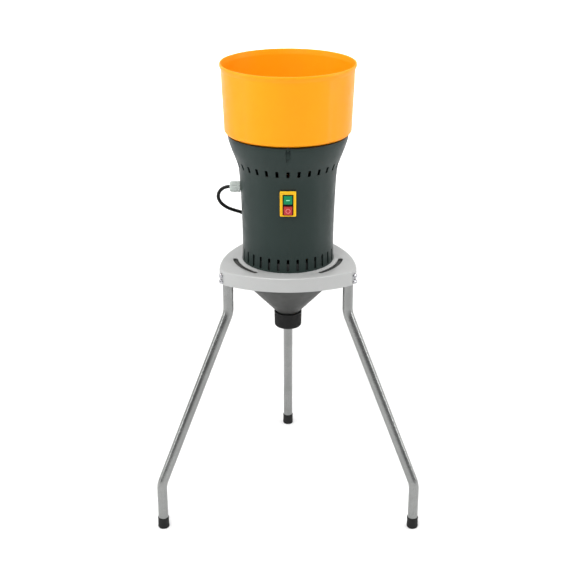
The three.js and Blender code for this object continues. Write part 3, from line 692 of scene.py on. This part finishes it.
def add_leg(side, angle):
    curve = bpy.data.curves.new("leg_line", "CURVE")
    curve.dimensions = "3D"
    curve.bevel_depth = LEG_TUBE
    curve.bevel_resolution = 12
    line = leg_line()
    spline = curve.splines.new("POLY")
    spline.points.add(len(line) - 1)
    for point, (r, z) in zip(spline.points, line):
        point.co = (r, 0, z, 1)
    holder = bpy.data.objects.new("leg_line", curve)
    bpy.context.scene.collection.objects.link(holder)
    bpy.context.view_layer.update()
    mesh = bpy.data.meshes.new_from_object(holder.evaluated_get(bpy.context.evaluated_depsgraph_get()))
    bpy.data.objects.remove(holder)
    leg = bpy.data.objects.new(f"leg_tube_{side}", mesh)
    bpy.context.scene.collection.objects.link(leg)
    thick = leg.modifiers.new("wall", "SOLIDIFY")
    thick.thickness = LEG_WALL
    thick.offset = -1
    applied(leg)
    nuts = []
    for drop in BOLT_DROPS:
        face = LEG_TOP_AT - LEG_TUBE
        nut = prism("nut", circle(WELD_NUT, 6), face - WELD_NUT_THICK, face + 1)
        nuts.append(moved(bevelled(nut, 0.5, 2), outward(0, PLATE_TOP - drop)))
    leg = join(f"leg_tube_{side}", [leg, *nuts])
    moved(leg, Matrix.Rotation(math.radians(angle), 4, "Z"))
    place(leg, TUBE, replaces=[f"leg_{side}"])


def add_foot_cap(side, angle):
    corners = [(0, 0), (14.2, 0, 1.6), (15.2, 3, 0.8), (15.0, 6.5, 0.4), (14.7, 7, 0.3), (15.0, 7.6, 0.3),
               (14.6, 26, 0.4), (15.1, 27, 0.6), (15.1, 30.2, 0.8), (12.9, 31, 0.3), (12.8, 20), (0, 20)]
    cap = lathe(f"foot_{side}", corners, 48, closed=False)
    at = Matrix.Translation(around(LEG_FOOT_AT, angle))
    place(moved(cap, at), RUBBER, replaces=[f"foot_cap_{side}"])


def add_leg_bolt(side, angle, index, drop):
    face = CORNER_FLAT + 0.3
    inner = LEG_TOP_AT - LEG_TUBE - WELD_NUT_THICK - 3
    corners = [(0, inner), (BOLT, inner, 0.5), (BOLT, face - 0.1), (6.8, face - 0.1, 0.2),
               (6.8, face + 1.2, 0.3), (5.8, face + 1.3), (5.6, face + 4.6, 0.5), (4.9, face + 4.9),
               (4.4, face + 7.4, 1.8), (0, face + 8.4)]
    bolt = lathe(f"plate_bolt_{side}_{index}", corners, 32, closed=False)
    place(moved(bolt, outward(angle, PLATE_TOP - drop)), ZINC, replaces=[f"leg_bolt_{side}_{index}"])


# ---- Body ---------------------------------------------------------------------------------------

SHELL_WALL = 3
SHELL_LOW = 707.3
SHELL_TOP = 1043
SHELL_FLOOR = 100  # radius of the hole in the shell's bottom
SHELL_RIM = (137, 146)
SHELL_SIDE = [
    (120, SHELL_LOW), (118.8, 720), (118.2, 766), (119, 809), (121, 865), (123.4, 919), (125.2, 941),
    (128.2, 962), (134.6, 981), (143.4, 1004), (150.6, 1026), (153, 1036), (153.5, SHELL_TOP),
]
VENTS_HIGH = {"count": 30, "width": 8, "low": 962, "high": 979}
VENTS_LOW = {"count": 30, "width": 6.8, "low": 710.6, "high": 743}
SWITCH_Z = 892.5
BEZEL_Z = 895.6
BEZEL_BACK = 125.3
SWITCH_FRONT = 126.8
START_Z = 905.4
STOP_Z = 877.9
POCKET_AT = 147.5
POCKET_HALF = 5.5
POCKET_TOP = 1040


def shell_radius_line():
    """The shell's side as a smooth line through its main radii."""
    return [(p.x, p.y) for p in smooth_route([(r, z, 0) for r, z in SHELL_SIDE], 4)]


def vent(angle, width, low, high):
    half = width / 2
    slot = prism("vent", rectangle(half, (high - low) / 2, half * 0.45), 100, 150)
    turn = Matrix.Rotation(math.radians(angle + 90), 4, "Z") @ facing_front(0, (low + high) / 2, 0)
    return moved(slot, turn)


def add_body_shell():
    side = shell_radius_line()
    inside = [(r - SHELL_WALL, z) for r, z in side if 712 < z < 1030][::-1]
    rim_inner, rim_outer = SHELL_RIM
    floor = SHELL_LOW + SHELL_WALL
    outline = side + [(rim_inner, SHELL_TOP), (rim_inner, POCKET_TOP), (rim_outer, POCKET_TOP)] + inside
    outline += [(116.8, floor), (SHELL_FLOOR, floor), (SHELL_FLOOR, SHELL_LOW)]
    shell = lathe("body_moulding", outline, 192)
    for angle in SIDE_ANGLES:
        boss = prism("boss", circle(POCKET_HALF + SHELL_WALL, 32), 990, POCKET_TOP + 1)
        boss = moved(boss, Matrix.Translation(around(POCKET_AT, angle)))
        flare = [(0, 980), *[p for p in side if p[1] > 980], (0, SHELL_TOP)]
        outside = lathe("outside", flare, 192, closed=False)
        boolean(boss, outside, "INTERSECT")
        boolean(shell, boss, "UNION")
    seat = bevelled(prism("seat", rectangle(20.9, 33.1, 2.5), 0, 9.4), 0.5, 2, 60)
    boolean(shell, moved(seat, facing_front(0, BEZEL_Z, 115.6)), "UNION")
    boolean(shell, join("cuts", shell_cuts()))
    bevelled(shell, 0.55, 2, 50)
    place(shell, GREEN, replaces=["body_shell"], sharp=40)


def shell_cuts():
    """The vents, the screw pockets and the holes for the switch, the gland and the feed gate."""
    cuts = []
    for vents in (VENTS_HIGH, VENTS_LOW):
        for k in range(vents["count"]):
            cuts.append(vent(-90 + 360 / vents["count"] * k, vents["width"], vents["low"], vents["high"]))
    for angle in SIDE_ANGLES:
        at = Matrix.Translation(around(POCKET_AT, angle))
        groove = prism("groove", rectangle(6, POCKET_HALF, 0), 960, POCKET_TOP)
        groove = moved(groove, Matrix.Translation((6, 0, 0)))
        pocket = join("pocket", [groove, prism("round", circle(POCKET_HALF, 32), 960, POCKET_TOP)])
        cuts.append(moved(pocket, at @ Matrix.Rotation(math.radians(angle), 4, "Z")))
    switch_hole = prism("switch_hole", rectangle(13.5, 26.8, 1.5), 0, 30)
    cuts.append(moved(switch_hole, facing_front(0, SWITCH_Z, 100)))
    cuts.append(moved(prism("gland_hole", circle(10, 32), 100, 140), outward(180, GLAND_Z)))
    gate_hole = prism("gate_hole", rectangle(GATE_HALF + 1, 2.1, 0.8), 110, 160)
    cuts.append(moved(gate_hole, facing_back(984.5)))
    return cuts


def add_hopper_screw(index, angle):
    top = POCKET_TOP - 0.3
    corners = [(0, top - 3), (2.6, top - 3, 0.8), (4, top - 1.6, 0.8), (4, top - 0.2), (2.2, top - 0.2),
               (2.2, 1045), (0, 1045)]
    screw = lathe(f"screw_{index}", corners, 24, closed=False)
    cross = join("cross", [prism("bar", rectangle(2.2, 0.45, 0.1), top - 5, top - 2),
                           prism("bar", rectangle(0.45, 2.2, 0.1), top - 5, top - 2)])
    boolean(screw, cross)
    at = Matrix.Translation(around(POCKET_AT, angle))
    place(moved(screw, at), ZINC, replaces=[f"hopper_screw_{index}"])


# ---- Hopper and feed ----------------------------------------------------------------------------

FLUTES = (-132, -48, 48, 132)
FLUTE_TOP = 1150
FLUTE_DEPTH = 1.8
OUTLET_TOP = 989.4


def add_hopper():
    floor = HOPPER_LOW + 9
    top = HOPPER_TOP
    outline = [
        (22, 986.2), (22, 988), (133, floor, 8), (157.4, floor, 7), (158.6, HOPPER_LOW + 22),
        (164.4, top - 14, 9), (167, top - 1, 1), (168, top, 0.6), (RIM - 0.6, top, 0.8), (RIM, top - 3, 1),
        (RIM, top - 6, 3), (167.4, top - 15, 9), (161, HOPPER_LOW + 9.5, 2), (155.4, HOPPER_LOW + 1.8, 0.5),
        (156.2, HOPPER_LOW + 0.8, 0.4), (155.2, HOPPER_LOW, 0.5), (135.5, HOPPER_LOW, 3),
        (26, OUTLET_TOP, 2), (31, OUTLET_TOP), (31, 986.2, 0.5),
    ]

    def centre(z):
        return OUTLET_Y * min(max((floor - z) / (floor - OUTLET_TOP), 0), 1)

    hopper = lathe("hopper_moulding", outline, 192, centres=centre)
    press_flutes(hopper)
    place(hopper, ORANGE, replaces=["hopper"], sharp=40)


def press_flutes(hopper):
    """Four shallow upright hollows in the side, which run out below the rim."""
    for vertex in hopper.data.vertices:
        radius = vertex.co.xy.length
        if radius < 154.5 or vertex.co.z > FLUTE_TOP:
            continue
        angle = math.degrees(math.atan2(vertex.co.y, vertex.co.x))
        away = min(abs((angle - flute + 180) % 360 - 180) for flute in FLUTES) * math.pi / 180 * radius
        across = min(max((9.5 - away) / 3, 0), 1)
        up = min(max((FLUTE_TOP - vertex.co.z) / 40, 0), 1)
        vertex.co.xy *= (radius - FLUTE_DEPTH * across * up) / radius


def add_feed_gate():
    plate = prism("feed_gate", rectangle(GATE_HALF, 49.5, 3), GATE_TOP - GATE_THICK, GATE_TOP)
    plate = bevelled(moved(plate, Matrix.Translation((0, 100.5, 0))), 0.4, 2)
    pull = bevelled(prism("pull", rectangle(GATE_HALF, 7.2, 3), 150 - GATE_THICK, 150), 0.5, 2)
    pull = moved(pull, facing_back(978.6))
    place(join("feed_gate_plate", [plate, pull]), STEEL, "feed_gate", ["feed_gate"])


# ---- Mill ---------------------------------------------------------------------------------------

FUNNEL = 130  # radius
FUNNEL_WALL = 3
FUNNEL_TOP = 701.9
FUNNEL_FLANGE = 150
CONE_TOP = 659.5
NECK = 29.5  # radius
NECK_TOP = 552.6
NECK_LOW = 522
COLLAR = 36.9  # radius over the ribs
COLLAR_BORE = 29.8
COLLAR_TOP = 553.5
COLLAR_LOW = 512
COLLAR_RIBS = 72


def add_funnel():
    high = FUNNEL_TOP
    inner = FUNNEL - FUNNEL_WALL
    bore = NECK - FUNNEL_WALL
    corners = [(bore, NECK_LOW, 0.8), (NECK, NECK_LOW, 0.8), (NECK, NECK_TOP, 3), (FUNNEL, CONE_TOP, 5),
               (FUNNEL, high - 4, 2), (FUNNEL_FLANGE, high - 4, 0.8), (FUNNEL_FLANGE, high, 0.8), (112, high),
               (112, high - 3), (inner, high - 4, 2), (inner, CONE_TOP + 1.9, 5), (bore, NECK_TOP + 1.9, 3)]
    place(lathe("funnel_moulding", corners, 160), GREY, replaces=["discharge_funnel"])


def add_spout_collar():
    top = COLLAR_TOP
    low = COLLAR_LOW
    corners = [(COLLAR_BORE, top - 2), (COLLAR_BORE + 1.8, top, 0.3), (COLLAR, top, 0.8),
               (36.7, top - 2.2, 0.3), (36.5, top - 2.6), (35.8, low + 3.5, 2.2), (33.6, low, 1.2),
               (COLLAR_BORE, low, 0.5)]
    collar = lathe("ribbed_collar", corners, 432)
    for vertex in collar.data.vertices:
        radius = vertex.co.xy.length
        if radius > 35.2 and low + 4 < vertex.co.z < top - 2.4:
            angle = math.atan2(vertex.co.y, vertex.co.x)
            depth = 0.7 * (0.5 + 0.5 * math.cos(COLLAR_RIBS * angle))
            vertex.co.xy *= (radius - depth) / radius
    place(collar, BLACK, replaces=["spout_collar"])


# ---- Switch and gland ---------------------------------------------------------------------------

BUTTON_HALF = 10.6
START_PROUD = 3.8
STOP_PROUD = 5.2
GLAND_FACE = 124.6
GLAND_NUT = 14.2  # radius
GLAND_RIBS = 12


def add_switch():
    bezel = bevelled(prism("bezel_frame", rectangle(20.2, 32.4, 2.5), 0, 5), 0.9, 3, 50)
    tray = bevelled(prism("tray", rectangle(17.9, 30.1, 1.5), 3, 8), 0.4, 2, 50)
    boolean(bezel, tray)
    window = prism("window", rectangle(13.6, 26.9, 1.2), -1, 6)
    boolean(bezel, moved(window, Matrix.Translation((0, SWITCH_Z - BEZEL_Z, 0))))
    bevelled(bezel, 0.3, 2, 50)
    place(moved(bezel, facing_front(0, BEZEL_Z, BEZEL_BACK)), YELLOW, replaces=["switch_bezel"])
    # A thin black rubber sheet behind the bezel, a little larger than it, which gives the bezel a dark edge.
    gasket = prism("bezel_dark_edge", rectangle(21.1, 33.3, 3), 0, 0.5)
    place(moved(gasket, facing_front(0, BEZEL_Z, BEZEL_BACK - 0.4)), RUBBER)
    # The block's black is painted shade: it stands in for the shade in the recess round the buttons.
    block = prism("switch_block", rectangle(13.2, 26.5, 1.2), 78, SWITCH_FRONT)
    wells = []
    for z in (START_Z, STOP_Z):
        well = prism("well", rectangle(11, 11, 0.8), SWITCH_FRONT - 14.5, SWITCH_FRONT + 2)
        wells.append(moved(well, Matrix.Translation((0, z - SWITCH_Z, 0))))
    boolean(block, join("wells", wells))
    bevelled(block, 0.3, 2, 50)
    place(moved(block, facing_front(0, SWITCH_Z, 0)), BLACK, replaces=["switch_body"])


def add_button(name, z, material, sign_material, sign, proud):
    front = SWITCH_FRONT + proud
    outline = rectangle(BUTTON_HALF, BUTTON_HALF, 1.6)
    cap = bevelled(prism(f"{name}_cap", outline, SWITCH_FRONT - 10, front), 1.0, 3, 50)
    place(moved(cap, facing_front(0, z, 0)), material, name, [name])
    place(moved(sign, facing_front(0, z, front - 0.15)), sign_material, name)


def start_sign():
    return bevelled(prism("start_sign", rectangle(4.6, 1.1, 0.5), 0, 0.4), 0.12, 1)


def stop_sign():
    return lathe("stop_sign", [(4.2, 0), (6.4, 0), (6.4, 0.4, 0.1), (4.2, 0.4, 0.1)], 48)


def add_gland():
    face = GLAND_FACE
    hexagon = bevelled(prism("hexagon", circle(15, 6), face, face + 6), 0.8, 2)
    stem = prism("stem", circle(9.7, 48), face - 19, face + 18)
    corners = [(10, face - 1.4), (14.5, face - 1.4, 0.4), (14.5, face - 0.1, 0.4), (10, face - 0.1)]
    washer = lathe("washer", corners, 48)
    body = join("gland_base", [hexagon, stem, washer])
    place(moved(body, outward(180, GLAND_Z)), PALE, replaces=["gland_body"])
    low = face + 6.3
    bore = CORD + 0.2
    corners = [(10, low), (GLAND_NUT, low, 0.5), (GLAND_NUT, low + 13.4, 1), (12.9, low + 17.6, 1),
               (9.6, low + 19, 1.2), (bore, low + 19, 0.8), (bore, low + 13), (10, low + 13)]
    nut = lathe("gland_dome_nut", corners, 144)
    for vertex in nut.data.vertices:
        radius = vertex.co.xy.length
        if radius > 11.5 and vertex.co.z < low + 17:
            angle = math.atan2(vertex.co.y, vertex.co.x)
            vertex.co.xy *= (radius - 1.6 * max(0, math.cos(GLAND_RIBS * angle)) ** 4) / radius
    place(moved(nut, outward(180, GLAND_Z)), PALE, replaces=["gland_nut"])


# ---- Pieces that stay as the CAD has them -------------------------------------------------------

# The mill head, motor housing and end shield get the near-black painted shade, for the dark seen through the
# vents.
CAD_LOOKS = {
    "grain_chute": GREY, "mill_head": VENT_SHADE_DARK, "motor_housing": VENT_SHADE_DARK, "motor_end_shield": VENT_SHADE_DARK,
    "motor_windings": COPPER, "motor_shaft": STEEL, "motor_armature": STEEL, "cooling_fan": BLACK,
    "lower_bearing": ZINC, "upper_bearing": ZINC, "start_capacitor": PALE, "rotor_discs": STEEL,
    "rotor_nut": ZINC, "sieve_cup": SIEVE,
}
CAD_FAMILIES = {"hammer_": STEEL, "head_bolt_": ZINC, "funnel_nut_": ZINC}


def dress_cad_nodes():
    for name, node in NODES.items():
        look = CAD_LOOKS.get(name)
        for start, family in CAD_FAMILIES.items():
            if name.startswith(start):
                look = family
        if look:
            node.data.materials.clear()
            node.data.materials.append(look)


# ---- Studio -------------------------------------------------------------------------------------

FLOOR_SIZE = 80  # metres


def add_floor():
    nodes = Nodes("pale_floor")
    tone = nodes.remap(nodes.noise(3, 3), 0.3, 0.7, 0, 1)
    nodes.link(nodes.mix(tone, (0.94, 0.94, 0.94, 1), (0.96, 0.96, 0.96, 1)), "Base Color")
    nodes.set(Roughness=0.9)
    bm = bmesh.new()
    bmesh.ops.create_grid(bm, x_segments=8, y_segments=8, size=FLOOR_SIZE)
    floor = new_object("floor", bm)
    floor.data.materials.append(nodes.material)


def add_area(name, location, target, size, power, spread=180):
    data = bpy.data.lights.new(name, "AREA")
    data.spread = math.radians(spread)
    data.shape = "RECTANGLE"
    data.size, data.size_y = size
    data.energy = power
    light = bpy.data.objects.new(name, data)
    light.location = location
    light.rotation_euler = (Vector(target) - Vector(location)).to_track_quat("-Z", "Y").to_euler()
    bpy.context.scene.collection.objects.link(light)


def add_world():
    """A pale studio that is darker on the side the front of the machine looks at."""
    world = bpy.data.worlds.new("studio")
    bpy.context.scene.world = world
    world.use_nodes = True
    tree = world.node_tree
    direction = tree.nodes.new("ShaderNodeTexCoord")
    split = tree.nodes.new("ShaderNodeSeparateXYZ")
    level = tree.nodes.new("ShaderNodeMapRange")
    tree.links.new(direction.outputs["Generated"], split.inputs[0])
    tree.links.new(split.outputs["Y"], level.inputs["Value"])
    for name, value in (("From Min", -1), ("From Max", 1), ("To Min", 0.22), ("To Max", 0.95)):
        level.inputs[name].default_value = value
    background = tree.nodes["Background"]
    background.inputs["Color"].default_value = (1, 1, 1, 1)
    tree.links.new(level.outputs["Result"], background.inputs["Strength"])


def add_lights():
    bpy.context.scene.view_settings.view_transform = "Standard"
    middle = (0, AXIS_Y, 0.8)
    add_area("key_light", (-1.0, AXIS_Y - 2.6, 3.2), middle, (1.6, 1.2), 62)
    add_area("top_light", (0, AXIS_Y - 0.3, 3.4), middle, (3, 3), 62)
    add_area("left_light", (-2.2, AXIS_Y - 0.5, 1.3), middle, (0.35, 2.2), 14)
    add_area("right_light", (2.2, AXIS_Y - 0.2, 1.3), middle, (0.35, 2.2), 18)
    add_area("floor_light", (0, AXIS_Y + 7, 5), (0, AXIS_Y + 7, 0), (14, 8), 620, spread=60)


# ---- Everything ---------------------------------------------------------------------------------

add_camera()
add_cord()
add_stand_plate()
for side, angle in LEG_ANGLES.items():
    add_leg(side, angle)
    add_foot_cap(side, angle)
    for index, drop in enumerate(BOLT_DROPS, 1):
        add_leg_bolt(side, angle, index, drop)
add_body_shell()
for index, angle in enumerate(SIDE_ANGLES, 1):
    add_hopper_screw(index, angle)
add_hopper()
add_feed_gate()
add_funnel()
add_spout_collar()
add_switch()
add_button("start_button", START_Z, START, START_SIGN, start_sign(), START_PROUD)
add_button("stop_button", STOP_Z, STOP, STOP_SIGN, stop_sign(), STOP_PROUD)
add_gland()
dress_cad_nodes()
add_floor()
add_world()
add_lights()
